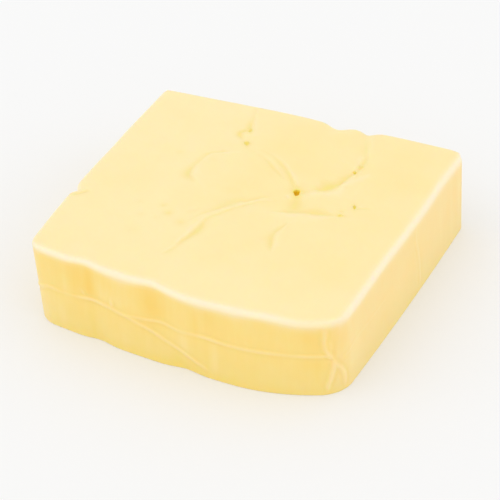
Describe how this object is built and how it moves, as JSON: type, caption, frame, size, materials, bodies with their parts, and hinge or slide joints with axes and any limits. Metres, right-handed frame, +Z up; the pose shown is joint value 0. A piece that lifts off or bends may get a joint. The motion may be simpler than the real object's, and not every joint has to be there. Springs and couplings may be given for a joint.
{
  "type": "block of swiss cheese",
  "caption": "Flat square block of pale yellow swiss cheese with soft rounded edges, a bowed lobed front, small eyes and slits on top, and thin raised creases round its walls",
  "frame": {"origin": "the middle of the object's box, on the flat face it lies on", "axes": "+Z up through the thickness; the long bowed wall with the creases faces -Y; +X runs to the right along that wall"},
  "size_m": [0.1188, 0.119, 0.03],
  "materials": {
    "cheese": "soft, slightly waxy, light passes a little way in"
  },
  "bodies": {
    "root": {"cheese_slab": "cheese"}
  },
  "joints": []
}
